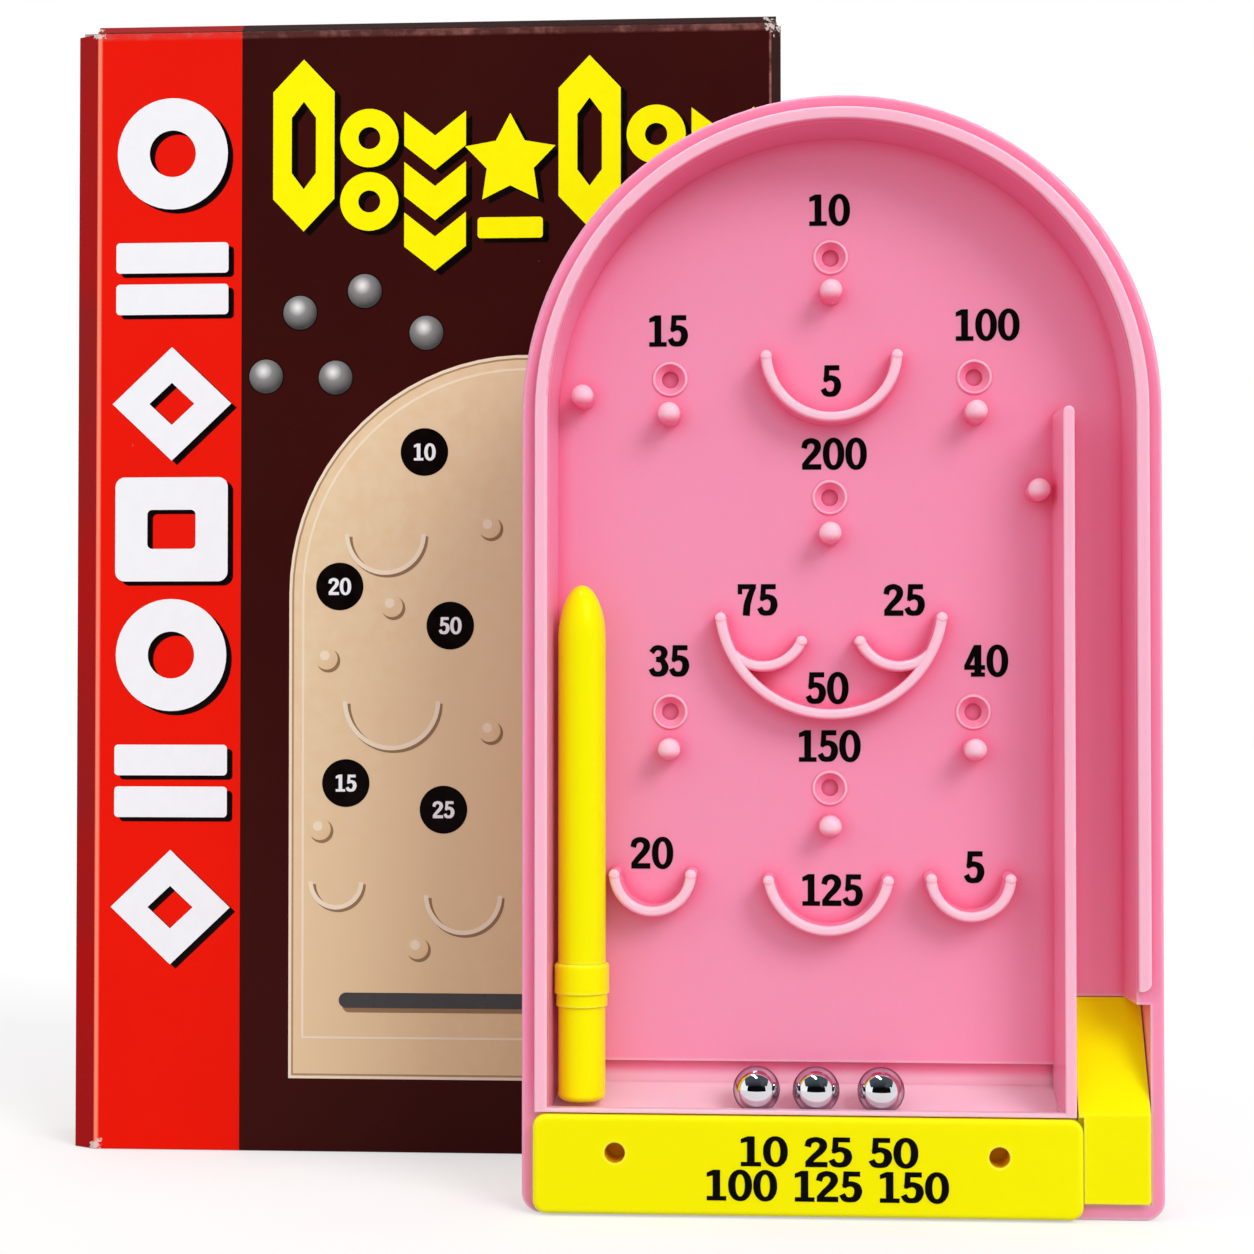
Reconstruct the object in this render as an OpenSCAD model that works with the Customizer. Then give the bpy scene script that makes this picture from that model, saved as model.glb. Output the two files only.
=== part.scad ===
// Bagatelle game set: a moulded playing tray with its compartment cover, launch ramp,
// pushing stick and three steel balls, and the printed carton that it is sold in.
// Millimetres. +X to the right, +Y to the back, +Z up. The origin is on the surface that the
// set stands on, below the middle of the whole set. The tray stands upright and faces -Y.
// Tray depths are measured towards the front from the plane of the tray's back edge.

/* [Tray] */
// Overall width of the tray
tray_w = 172; // [160:1:190]
// Overall height of the tray, foot to top of the arch
tray_h = 302; // [290:1:330]
// Depth from the tray's back edge to the top of its rim
rim_d = 25; // [23:0.5:30]
// How far the outer step lies behind the rim
step_drop = 3; // [2:0.5:4]
// Width of the outer step
step_w = 3.7; // [3:0.1:5]
// Width of the flat band on top of the rim
band_w = 3.4; // [2.5:0.1:4]
// How far the inner wall leans outwards between the field and the rim
wall_lean = 1.5; // [0.5:0.1:2.5]
// Wall thickness of the moulding
wall_t = 2; // [1.6:0.1:2.4]
// Thickness of the moulding's floors
floor_t = 2; // [1.6:0.1:2.4]
// Depth of the playing field's surface, from the back edge
field_d = 5; // [4.5:0.5:7]
// Radius of the tray's two bottom corners
foot_r = 5.5; // [3:0.5:8]
// Radius on the outer edge of the step
step_edge_r = 0.9; // [0.4:0.1:1.2]
// Radius of the corner where the right rim band ends above the ramp
band_end_r = 2.6; // [1:0.1:3]
// Radius on the edges of the rim band and the divider
band_edge_r = 0.6; // [0.3:0.1:0.9]

/* [Balls] */
// Diameter of a steel ball
ball_d = 12.7; // [11:0.1:14]
// Places of the three balls, from the tray's centreline
ball_x = [-22.6, -6.5, 11]; // [-50:0.1:50]

/* [Lane] */
// Height of the top end of the lane divider
divider_top_z = 217; // [180:1:225]
// Width of the divider on top
divider_top_w = 3; // [2.4:0.1:4]
// Width of the divider where it meets the field
divider_foot_w = 5; // [4:0.1:6]
// Side clearance of a ball in the lane
lane_clear = 1.2; // [0.8:0.1:2]

/* [Ledge] */
// Height at which the playing field ends in the trough
field_end_z = 38.4; // [36:0.2:44]
// How much deeper the trough lies than the field
trough_drop = 3; // [1:0.5:3]
// Height at which the ledge's surface would meet the front of the step
ledge_z = 23.6; // [23:0.2:25]
// Rise of the ledge's surface towards the back
ledge_rise = 8.4; // [6:0.2:9]
// Thickness of the ledge
ledge_t = 2.2; // [1.8:0.1:3]
// Height of the lip above the front of the ledge's surface
lip_h = 4.9; // [4.5:0.1:5.2]
// Thickness of the lip
lip_t = 1.1; // [1:0.1:1.6]
// Height of the bevel behind the lip
lip_bevel = 1.7; // [1.7:0.1:2]
// Thickness of the tray's bottom wall
foot_t = 4.2; // [3:0.2:5]

/* [Pegs and cups] */
// Diameter of a peg
peg_d = 6.3; // [5:0.1:8]
// Height of a peg above the field
peg_h = 10.5; // [8:0.5:14]
// Distance from a cup down to its peg
cup_to_peg = 10.2; // [9:0.1:12]
// Cups, each with a peg below it: places across and up
cups = [
    [-2, 260.7], [-46.5, 227.2], [37.5, 227.2], [-2.3, 194.1], [-46.5, 134.8], [37, 134.8], [-2.4, 113.8],
]; // [-75:0.1:75]
// Single pegs: places across and up
lone_pegs = [[-70.4, 222], [54.4, 195.5]]; // [-75:0.1:270]
// Diameter of a cup's mouth
cup_d = 8.2; // [7.5:0.1:11]
// Diameter of a cup's blind hole
cup_hole_d = 4.7; // [3:0.1:6]
// Radius of the bead round a cup's mouth
cup_bead_r = 0.55; // [0.3:0.05:0.8]
// Depth of a cup's conical mouth
cup_cone_h = 1.6; // [1:0.1:2]
// Full depth of a cup
cup_h = 3.2; // [2.4:0.1:3.6]
// Diameter of the boss behind a cup
cup_boss_d = 13; // [11:0.5:16]

/* [Scoring arcs] */
// Height of an arc rib above the field
rib_h = 9.5; // [7:0.5:12]
// Width of an arc rib on top
rib_top_w = 2.9; // [2:0.1:4]
// Width of an arc rib at its foot
rib_foot_w = 3.5; // [2.6:0.1:5]
// Radius on the top edges of an arc rib
rib_edge_r = 1.1; // [0.5:0.1:1.4]
// How much wider and higher the round tips of the ribs are
tip_swell = 0.2; // [0.1:0.05:0.5]
// Arcs: middle across, height of the bowl's bottom, radius, start angle, end angle
arcs = [
    [-1.9, 215.5, 17.9, 183, 357],
    [-2.2, 134.2, 30.4, 187.5, 352.5],
    [-51, 80.2, 10.5, 182, 358],
    [-3, 75.2, 16.5, 190, 350],
    [35.6, 79.2, 10.7, 182, 358],
]; // [-75:0.1:360]
// Reach of the two small arcs from the middle of the large one
twin_x = 18.6; // [16:0.2:20]
// Height of the two small arcs' bowl bottoms
twin_z = 147.3; // [144:0.2:150]
// Radius of the two small arcs
twin_r = 11.6; // [9:0.2:13]
// Angle from straight down to a small arc's free tip
twin_free = 66; // [50:1:90]
// How much lower the small arcs' ribs are than the large one's
twin_drop = 0.4; // [0.2:0.1:1]

/* [Ramp] */
// Width of the launch ramp
ramp_w = 19; // [17:0.1:20]
// Height of the ramp's upper end on the lane floor
ramp_toe_z = 56.9; // [50:0.1:62]
// Height of the crease between the slope and the block
ramp_crease_z = 28.1; // [27.8:0.1:34]
// Depth of the block's flat top
ramp_top_d = 24; // [20:0.5:24.5]
// Thickness of the ramp's toe
ramp_toe_t = 1; // [0.6:0.1:1.5]
// Wall thickness of the ramp
ramp_t = 1.8; // [1.2:0.1:2.2]
// Radius of the ramp's corners seen from the front
ramp_corner_r = 0.9; // [0.4:0.1:1.5]

/* [Cover] */
// Overhang of the cover past the mouth of the compartment, to the left
cover_lap_l = 4; // [2:0.1:5]
// Overhang of the cover past the mouth of the compartment, to the right
cover_lap_r = 5.6; // [4:0.1:5.6]
// Height of the cover's bottom edge
cover_z = 0.4; // [0:0.1:1]
// Gap between the cover and the lip above it
cover_gap = 0.4; // [0.3:0.1:0.8]
// How far the cover stands in front of the outer step
cover_t = 4.5; // [4:0.1:6]
// Wall thickness of the cover
cover_wall = 1.8; // [1.4:0.1:2.2]
// Radius of the cover's corners
cover_r = 3.6; // [3.2:0.1:5]
// Radius of the cover's front edges
cover_edge_r = 1.5; // [0.6:0.1:1.5]
// Depth of the cover's locating rib inside the compartment
spigot_h = 4; // [2:0.5:6]
// Thickness of the locating rib
spigot_t = 1.5; // [1.2:0.1:2]
// Diameter of the two finger holes
cover_hole_d = 5.5; // [4:0.1:7]
// Distance between the two finger holes
cover_hole_pitch = 102.4; // [90:0.2:120]
// Height of the finger holes
cover_hole_z = 17; // [11:0.1:18]
// Depth of the finger holes
cover_hole_h = 10; // [6:0.5:14]
// Wall thickness of the sockets behind the finger holes
socket_t = 1.4; // [1:0.1:2]

/* [Stick] */
// Diameter of the barrel
barrel_d = 13.1; // [11:0.1:14]
// Height of the barrel's tip above the foot of the stick
stick_h = 140.6; // [120:0.2:160]
// Length of the bullet nose
nose_h = 15; // [10:0.5:24]
// Wall thickness of the barrel
barrel_t = 1.5; // [1:0.1:2]
// Diameter of the collar
collar_d = 15; // [14.5:0.1:16]
// Height of the collar's top above the foot of the stick
collar_top = 37.4; // [30:0.2:60]
// Height of the collar
collar_h = 8.2; // [5:0.2:12]
// Diameter of the lower step
under_d = 14; // [13.5:0.1:14.4]
// Height of the lower step
under_h = 3.5; // [2:0.1:5]
// Diameter of the plug's body
plug_d = 12.9; // [11:0.1:13.4]
// Radius of the plug's bottom edge
plug_edge_r = 1.8; // [0.8:0.1:2.4]
// How far the plug's spigot reaches into the barrel
plug_reach = 14; // [8:0.5:24]
// Depth of the stick's axis
stick_d = 14.2; // [12:0.1:14.6]

/* [Carton] */
// Width of the carton
carton_w = 217.3; // [212:0.1:250]
// Height of the carton
carton_h = 345.5; // [335:0.5:380]
// Depth of the carton
carton_d = 38; // [34:1:60]
// Thickness of the board
board_t = 1; // [0.8:0.1:1.6]
// Radius of the upright creases
crease_r = 1.6; // [1.1:0.1:3]
// Width of the bevel at the front panel's left edge
bevel_l = 6.8; // [2:0.1:9]
// Width of the bevel at the front panel's right edge
bevel_r = 2.8; // [2:0.1:9]
// Depth of both upright bevels
bevel_d = 4; // [2:0.5:10]
// Height and depth of the bevel along the front panel's top edge
bevel_t = 2.4; // [2:0.1:4]
// Distance from the tray's centreline to the carton's
carton_left = 124.3; // [100:0.1:160]
// Gap between the tray's back edge and the carton
carton_gap = 56; // [20:1:90]
// Length of the tuck flap
tuck_h = 12; // [8:0.5:20]
// Length of a dust flap
dust_w = 34; // [20:1:60]

/* [Fits] */
// Clearance beside pieces that are laid or lifted in
loose_gap = 0.3; // [0.2:0.05:0.4]
// Clearance under the balls and the stick where they rest
rest_gap = 0.05; // [0.02:0.01:0.1]
// Radial clearance of the plug in the barrel
plug_gap = 0.05; // [0.02:0.01:0.1]
// Clearance of the carton's flaps
flap_gap = 0.2; // [0.1:0.05:0.5]

/* [Hidden] */
$fn = 96;

pink = "#f283a6";
yellow = "#fbf21c";
steel = "#c9ccd1";
print_maroon = "#451312";
board_grey = "#b9b2a6";

// Tray: widths from the centreline and depths from the back edge
step_d = rim_d - step_drop;
half_w = tray_w / 2;
arch_z = tray_h - half_w;
band_out = half_w - step_w;
band_in = band_out - band_w;
field_half = band_in - wall_lean;
trough_d = field_d - trough_drop;
lip_z = ledge_z + lip_h;
ledge_grade = ledge_rise / (step_d - trough_d);
ledge_slope = atan(ledge_grade);
mouth_left = -wall_u(step_d);
// Lane divider: one ball and its clearance away from the inner wall
lane_w = ball_d + lane_clear;
divider_x = field_half - lane_w - divider_foot_w / 2;
divider_left = divider_x - divider_foot_w / 2;
// Ramp pocket, between the divider and the outer step
pocket_r_x = band_out;
pocket_l_x = pocket_r_x - ramp_w - 2 * loose_gap;
pocket_bottom = foot_t + loose_gap;
pocket_top = ramp_toe_z + loose_gap;
pocket_d = field_d - ramp_toe_t;
band_end_z = pocket_top + step_w;
// Angles of the small arcs: straight down, and where their circle meets the large arc's
down_angle = 270;
twin_up = arcs[1][1] + arcs[1][2] - twin_z - twin_r;
twin_span = norm([twin_x, twin_up]);
twin_corner = acos((twin_span ^ 2 + twin_r ^ 2 - arcs[1][2] ^ 2) / (2 * twin_span * twin_r));
twin_join = 360 + atan2(twin_up, twin_x) - twin_corner;
// Cover
cover_x0 = mouth_left - cover_lap_l;
cover_x1 = divider_left + cover_lap_r;
cover_z1 = lip_z - lip_t - cover_gap;
cover_w = cover_x1 - cover_x0;
cover_h = cover_z1 - cover_z;
cover_mid_x = (cover_x0 + cover_x1) / 2;
cover_mid_z = (cover_z + cover_z1) / 2;
cover_front = step_d + cover_t;
// Stick, standing beside the left wall
stick_x = collar_d / 2 + loose_gap - wall_u(stick_d);
stick_z = ledge_surface(stick_d - plug_d / 2 + plug_edge_r) + plug_edge_r / cos(ledge_slope)
    - plug_edge_r + rest_gap;
// A ball rests on the sloping ledge and against the lip: its distance behind the lip's edge
ball_r = ball_d / 2;
ball_reach = ball_r + loose_gap;
ball_rise = ledge_z + ball_r / cos(ledge_slope) + rest_gap - lip_z;
ball_half_b = ledge_grade * ball_rise;
ball_behind = (sqrt(ball_half_b ^ 2 - (1 + ledge_grade ^ 2) * (ball_rise ^ 2 - ball_reach ^ 2)) - ball_half_b)
    / (1 + ledge_grade ^ 2);
ball_y = ball_behind - step_d;
ball_z = lip_z + ball_rise + ledge_grade * ball_behind;
// Whole set, centred on the origin
set_w = carton_w / 2 + carton_left + half_w;
set_d = cover_front + carton_gap + carton_d;
tray_x = set_w / 2 - half_w;
tray_y = cover_front - set_d / 2;
carton_x = carton_w / 2 - set_w / 2;
carton_y = tray_y + carton_gap + carton_d / 2;
// Carton
lid_z = carton_h - board_t;
front_z = carton_h - bevel_t - flap_gap;
inner_w = carton_w - 2 * board_t;
inner_d = carton_d - 2 * board_t;
eps = 0.01;

// Half width of the play space at a depth, on the leaning inner wall
function wall_u(d) = field_half + wall_lean * (d - field_d) / (rim_d - field_d);
// Height of the sloping ledge at a depth
function ledge_surface(d) = ledge_z + ledge_grade * (step_d - d);

// Places its children in the tray's own frame
module in_tray() translate([tray_x, tray_y, 0]) children();

// Extrudes a front view between two depths
module front(d0, d1) translate([0, -d0, 0]) rotate([90, 0, 0]) linear_extrude(d1 - d0) children();

// Extrudes a side view, drawn as depth and height, between two places across
module across(x0, x1) {
    translate([x0, 0, 0]) rotate([90, 0, 90]) linear_extrude(x1 - x0) mirror([1, 0]) children();
}

// Extrudes a cross-section, drawn as place across and depth, between two heights
module upright(z0, z1) translate([0, 0, z0]) linear_extrude(z1 - z0) mirror([0, 1]) children();

// Turns a cross-section about an axis that points to the front, through x and z
module turned(x, z, a0 = 0, a1 = 360) {
    translate([x, 0, z]) rotate([90, 0, 0]) rotate([0, 0, a0]) rotate_extrude(angle = a1 - a0) children();
}

// Carries a cross-section up both straight sides and round the arch
module rim_run(left_z, right_z) {
    turned(0, arch_z, 0, 180) children();
    upright(right_z, arch_z) children();
    mirror([1, 0, 0]) upright(left_z, arch_z) children();
}

module rounded_rect(w, h, r) {
    square([w - 2 * r, h], center = true);
    square([w, h - 2 * r], center = true);
    for (sx = [-1, 1], sy = [-1, 1]) {
        translate([sx * (w / 2 - r), sy * (h / 2 - r)]) circle(r);
    }
}

// A straight-sided or tapering rib's cross-section with its two top edges rounded
module rib_section(foot_w, top_w, base, top, r) {
    polygon([[-foot_w / 2, base], [foot_w / 2, base], [top_w / 2, top - r], [-top_w / 2, top - r]]);
    translate([-top_w / 2 + r, top - r - eps]) square([top_w - 2 * r, r + eps]);
    for (s = [-1, 1]) {
        translate([s * (top_w / 2 - r), top - r]) circle(r);
    }
}

// The half of a rib's cross-section that turns into its round end
module rib_half(foot_w, top_w, base, top, r) {
    intersection() {
        rib_section(foot_w, top_w, base, top, r);
        translate([0, base]) square([foot_w, top - base]);
    }
}

// What the two round bottom corners take off
module foot_corners() {
    for (s = [0, 1]) {
        mirror([s, 0, 0]) front(-1, rim_d + 1) difference() {
            translate([half_w - foot_r, -1]) square([foot_r + 1, foot_r + 1]);
            translate([half_w - foot_r, foot_r]) circle(foot_r);
        }
    }
}

// The wall all round: outer skin, step and leaning inner skin, open at the back
module wall_section() {
    polygon([
        [half_w - wall_t, 0], [half_w, 0], [half_w, step_d - step_edge_r],
        [half_w - step_edge_r, step_d], [wall_u(step_d), step_d],
        [field_half, field_d], [field_half, field_d - floor_t],
        [field_half + wall_t, field_d - floor_t],
        [wall_u(step_d - wall_t) + wall_t, step_d - wall_t], [half_w - wall_t, step_d - wall_t],
    ]);
    translate([half_w - step_edge_r, step_d - step_edge_r]) circle(step_edge_r);
}

// The flat band that stands up from the step and forms the rim
module band_section() {
    polygon([
        [wall_u(step_d), step_d - wall_t / 2], [wall_u(rim_d - band_edge_r), rim_d - band_edge_r],
        [band_out, rim_d - band_edge_r], [band_out, step_d - wall_t / 2],
    ]);
    translate([band_in + band_edge_r, rim_d - band_edge_r]) {
        translate([0, -eps]) square([band_w - 2 * band_edge_r, band_edge_r + eps]);
        circle(band_edge_r);
        translate([band_w - 2 * band_edge_r, 0]) circle(band_edge_r);
    }
}

module field_plate() {
    front(field_d - floor_t, field_d) {
        translate([0, arch_z]) circle(field_half + wall_t / 2);
        translate([-field_half - wall_t / 2, field_end_z]) {
            square([2 * field_half + wall_t, arch_z - field_end_z]);
        }
    }
}

// Floor of the trough and of the compartment, and the step up to the field
module trough_floor() {
    x0 = -field_half - wall_t;
    translate([x0, -trough_d, foot_t / 2]) {
        cube([divider_x - x0, trough_d, field_end_z - foot_t / 2 + floor_t]);
    }
    translate([x0, -field_d, field_end_z]) cube([divider_x - x0, field_d, floor_t]);
}

// The ledge that the balls rest on, with the lip that holds them
module ledge() {
    across(-wall_u(step_d) - wall_t / 2, divider_x) {
        polygon([
            [trough_d / 2, ledge_surface(trough_d / 2)],
            [step_d - wall_t, ledge_surface(step_d - wall_t)], [step_d - wall_t, lip_z - lip_bevel],
            [step_d, lip_z], [step_d, ledge_z - ledge_t],
            [trough_d / 2, ledge_surface(trough_d / 2) - ledge_t],
        ]);
        translate([step_d, lip_z - lip_t]) square([rim_d - step_d - band_edge_r, lip_t]);
        translate([step_d, lip_z - lip_t]) square([rim_d - step_d, lip_t - band_edge_r]);
        translate([rim_d - band_edge_r, lip_z - band_edge_r]) circle(band_edge_r);
    }
}

// What rounds off the outer corner at the right band's end
module band_end_corner() {
    front(step_d, rim_d + 1) difference() {
        translate([band_out - band_end_r, band_end_z - 1]) square([band_end_r + 1, band_end_r + 1]);
        translate([band_out - band_end_r, band_end_z + band_end_r]) circle(band_end_r);
    }
}

// The corner where the left band turns into the lip
module lip_corner() {
    translate([-band_out, -rim_d + band_edge_r, lip_z - lip_t]) {
        cube([band_out - wall_u(step_d) + wall_t, step_drop, lip_t]);
    }
}

module divider() {
    end_z = divider_top_z - divider_top_w / 2;
    translate([divider_x, 0, 0]) upright(lip_z - lip_t, end_z) {
        rib_section(divider_foot_w, divider_top_w, field_d - floor_t, rim_d, band_edge_r);
    }
    turned(divider_x, end_z, 0, 180) {
        rib_half(divider_foot_w, divider_top_w, field_d - floor_t, rim_d, band_edge_r);
    }
    // The compartment's end wall below the lip
    translate([divider_left, -step_d, 0]) cube([pocket_l_x - divider_left, step_d, lip_z]);
}

module peg(x, z) {
    turned(x, z) {
        translate([0, field_d - floor_t / 2]) square([peg_d / 2, peg_h + floor_t / 2 - peg_d / 2]);
        intersection() {
            translate([0, field_d + peg_h - peg_d / 2]) circle(d = peg_d);
            translate([0, field_d]) square([peg_d, peg_h + 1]);
        }
    }
}

// A rib along an arc, round at its second end and, if wanted, at its first
module arc_rib(x, z_low, r, a0, a1, h, round_first = true) {
    z = z_low + r;
    base = field_d - floor_t / 2;
    top = field_d + h;
    turned(x, z, a0, a1) {
        translate([r, 0]) rib_section(rib_foot_w, rib_top_w, base, top, rib_edge_r);
    }
    for (a = round_first ? [a0, a1] : [a1]) {
        turned(x + r * cos(a), z + r * sin(a)) {
            rib_half(rib_foot_w + tip_swell, rib_top_w + tip_swell, base, top + tip_swell, rib_edge_r);
        }
    }
}

module scoring_arcs() {
    for (a = arcs) {
        arc_rib(a[0], a[1], a[2], a[3], a[4], rib_h);
    }
    // Each small arc starts where its circle meets the large arc's
    for (s = [0, 1]) {
        translate([arcs[1][0], 0, 0]) mirror([s, 0, 0]) {
            arc_rib(-twin_x, twin_z, twin_r, twin_join, down_angle + twin_free, rib_h - twin_drop, false);
        }
    }
}

module cup_boss(x, z) {
    turned(x, z) {
        translate([0, field_d - cup_h - floor_t / 2]) square([cup_boss_d / 2, cup_h + floor_t / 4]);
        translate([(cup_d + cup_bead_r) / 2, field_d]) circle(cup_bead_r);
    }
}

module cup_hollow(x, z) {
    turned(x, z) {
        polygon([
            [0, field_d - cup_h], [cup_hole_d / 2, field_d - cup_h], [cup_hole_d / 2, field_d - cup_cone_h],
            [cup_d / 2, field_d], [cup_d / 2, field_d + 1], [0, field_d + 1],
        ]);
    }
}

// The outer wall beside the ramp is solid, and the hollow behind the rim ends above it
module ramp_pocket_block() {
    translate([divider_x, -step_d, 0]) {
        cube([half_w - divider_x - wall_t / 2, step_d, pocket_top]);
    }
    upright(pocket_top - wall_t, pocket_top + wall_t) {
        polygon([
            [field_half + wall_t / 2, 0], [field_half + wall_t / 2, field_d],
            [wall_u(step_d) + wall_t / 2, step_d - wall_t / 2],
            [half_w - wall_t / 2, step_d - wall_t / 2], [half_w - wall_t / 2, 0],
        ]);
    }
}

module ramp_pocket() {
    translate([pocket_l_x, -rim_d - 1, pocket_bottom - loose_gap]) {
        cube([pocket_r_x - pocket_l_x, rim_d + 1 - pocket_d, pocket_top - pocket_bottom + loose_gap]);
    }
    // The block is cored from behind
    translate([pocket_l_x, -pocket_d + floor_t, wall_t]) {
        cube([pocket_r_x - pocket_l_x, pocket_d, pocket_top]);
    }
}

module playfield_tray() {
    color(pink) in_tray() difference() {
        union() {
            rim_run(0, 0) wall_section();
            rim_run(lip_z - lip_t, band_end_z) band_section();
            field_plate();
            translate([-half_w, -step_d, 0]) cube([tray_w, step_d, foot_t]);
            trough_floor();
            ledge();
            lip_corner();
            ramp_pocket_block();
            divider();
            for (c = cups) {
                cup_boss(c[0], c[1]);
                peg(c[0], c[1] - cup_to_peg);
            }
            for (p = lone_pegs) {
                peg(p[0], p[1]);
            }
            scoring_arcs();
        }
        for (c = cups) {
            cup_hollow(c[0], c[1]);
        }
        ramp_pocket();
        foot_corners();
        band_end_corner();
    }
}

// Cross-section of a plate's border, out to its edge, with the front edge rounded
module plate_edge(reach, t, r) {
    square([reach, t - r]);
    square([reach - r, t]);
    translate([reach - r, t - r]) circle(r);
}

// A plate seen from the front, rounded at its corners and along its front edges
module soft_plate(w, h, t, corner_r, edge_r) {
    front(0, t) square([w - 2 * corner_r, h - 2 * corner_r], center = true);
    for (q = [0:3]) {
        out = (q % 2 == 0 ? w : h) / 2 - corner_r;
        run = (q % 2 == 0 ? h : w) / 2 - corner_r;
        rotate([0, -90 * q, 0]) translate([out, 0, 0]) {
            upright(-run, run) plate_edge(corner_r, t, edge_r);
            turned(0, run, 0, 90) plate_edge(corner_r, t, edge_r);
        }
    }
}

module cover_plate() {
    spigot_x0 = -wall_u(step_d - spigot_h) + loose_gap;
    spigot_x1 = divider_left - loose_gap;
    spigot_z0 = foot_t + loose_gap;
    spigot_z1 = ledge_z - ledge_t - loose_gap;
    spigot_w = spigot_x1 - spigot_x0;
    color(yellow) in_tray() difference() {
        union() {
            difference() {
                translate([cover_mid_x, -step_d, cover_mid_z]) {
                    soft_plate(cover_w, cover_h, cover_t, cover_r, cover_edge_r);
                }
                translate([cover_mid_x, 1, cover_mid_z]) front(step_d, cover_front - cover_wall + 1) {
                    rounded_rect(cover_w - 2 * cover_wall, cover_h - 2 * cover_wall, cover_r - cover_wall);
                }
            }
            difference() {
                translate([spigot_x0, -cover_front + cover_wall / 2, spigot_z0]) {
                    cube([spigot_w, cover_t + spigot_h - cover_wall / 2, spigot_z1 - spigot_z0]);
                }
                translate([spigot_x0 + spigot_t, -cover_front + cover_wall / 2 - 1, spigot_z0 + spigot_t]) {
                    cube([spigot_w - 2 * spigot_t, cover_front, spigot_z1 - spigot_z0 - 2 * spigot_t]);
                }
            }
            for (s = [-1, 1]) {
                translate([cover_mid_x + s * cover_hole_pitch / 2, 0, cover_hole_z]) {
                    front(cover_front - cover_hole_h - socket_t, cover_front - cover_wall / 2) {
                        circle(d = cover_hole_d + 2 * socket_t);
                    }
                }
            }
        }
        for (s = [-1, 1]) {
            translate([cover_mid_x + s * cover_hole_pitch / 2, 0, cover_hole_z]) {
                front(cover_front - cover_hole_h, cover_front + 1) circle(d = cover_hole_d);
            }
        }
    }
}

module ramp_profile(inset = 0) {
    polygon([
        [pocket_d - 5 * inset, pocket_bottom + inset], [ramp_top_d - inset, pocket_bottom + inset],
        [ramp_top_d - inset, ramp_crease_z - inset / 2], [field_d - inset, ramp_toe_z - inset],
        [pocket_d - 5 * inset, ramp_toe_z - inset],
    ]);
}

module launch_ramp() {
    x0 = pocket_l_x + loose_gap;
    x1 = x0 + ramp_w;
    color(yellow) in_tray() difference() {
        intersection() {
            across(x0, x1) ramp_profile();
            front(0, rim_d) translate([(x0 + x1) / 2, (pocket_bottom + ramp_toe_z) / 2]) {
                rounded_rect(ramp_w, ramp_toe_z - pocket_bottom, ramp_corner_r);
            }
        }
        across(x0 + ramp_t, x1 - ramp_t) ramp_profile(ramp_t);
        // The block is cut back beside the cover's end
        translate([x0 - 1, -rim_d, 0]) {
            cube([cover_x1 + loose_gap - x0 + 1, rim_d - step_d + loose_gap, cover_z1 + loose_gap]);
        }
    }
}

// Places its children in the stick's own frame, foot at the origin
module on_stick() in_tray() translate([stick_x, -stick_d, stick_z]) children();

// Outline of the bullet nose over a round body
module nose_outline(r, h, top) {
    steps = 20;
    polygon(concat(
        [[0, top - h]],
        [for (i = [0:steps]) [r * cos(90 * i / steps), top - h + h * sin(90 * i / steps)]]
    ));
}

module cue_barrel() {
    r = barrel_d / 2;
    color(yellow) on_stick() rotate_extrude() difference() {
        union() {
            translate([0, collar_top]) square([r, stick_h - nose_h - collar_top]);
            nose_outline(r, nose_h, stick_h);
        }
        translate([0, collar_top - 1]) square([r - barrel_t, stick_h - nose_h - collar_top + 1]);
        nose_outline(r - barrel_t, nose_h - barrel_t, stick_h - barrel_t);
    }
}

module cue_plug() {
    shoulder_r = (collar_d - barrel_d) / 2;
    spigot_r = barrel_d / 2 - barrel_t - plug_gap;
    body_r = plug_d / 2;
    color(yellow) on_stick() rotate_extrude() difference() {
        union() {
            translate([0, collar_top - collar_h]) square([collar_d / 2, collar_h - shoulder_r]);
            translate([0, collar_top - shoulder_r - eps]) square([barrel_d / 2, shoulder_r + eps]);
            intersection() {
                translate([barrel_d / 2, collar_top - shoulder_r]) circle(shoulder_r);
                square([collar_d, stick_h]);
            }
            translate([0, collar_top - collar_h - under_h]) square([under_d / 2, under_h + eps]);
            translate([0, plug_edge_r]) square([body_r, collar_top - collar_h - plug_edge_r]);
            square([body_r - plug_edge_r, collar_top]);
            translate([body_r - plug_edge_r, plug_edge_r]) circle(plug_edge_r);
            square([spigot_r, collar_top + plug_reach]);
        }
        translate([0, 2 * barrel_t]) square([spigot_r - barrel_t, stick_h]);
    }
}

// One steel ball, by its place in the row
module ball(i) color(steel) in_tray() translate([ball_x[i], ball_y, ball_z]) sphere(ball_r);

module ball_left() ball(0);

module ball_middle() ball(1);

module ball_right() ball(2);

// Places its children in the carton's own frame, middle of its base at the origin
module in_carton() translate([carton_x, carton_y, 0]) children();

// The carton in plan: two round back corners, and a front panel between two bevels
module carton_plan(inset) {
    w = carton_w / 2 - inset;
    d = carton_d / 2 - inset;
    r = crease_r - inset;
    polygon([
        [-w, d - r], [-w, bevel_d - d], [bevel_l - w, -d], [w - bevel_r, -d],
        [w, bevel_d - d], [w, d - r], [w - r, d], [r - w, d],
    ]);
    for (s = [-1, 1]) {
        translate([s * (w - r), d - r]) circle(r);
    }
}

module carton_sleeve() {
    color(print_maroon) in_carton() difference() {
        linear_extrude(lid_z) carton_plan(0);
        translate([0, 0, -1]) linear_extrude(carton_h) carton_plan(board_t);
        // The front and the sides end lower than the back panel, which carries the lid
        translate([-carton_w / 2 - 1, -carton_d / 2 - 1, front_z]) {
            cube([carton_w + 2, carton_d - crease_r + 1, carton_h]);
        }
    }
}

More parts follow.
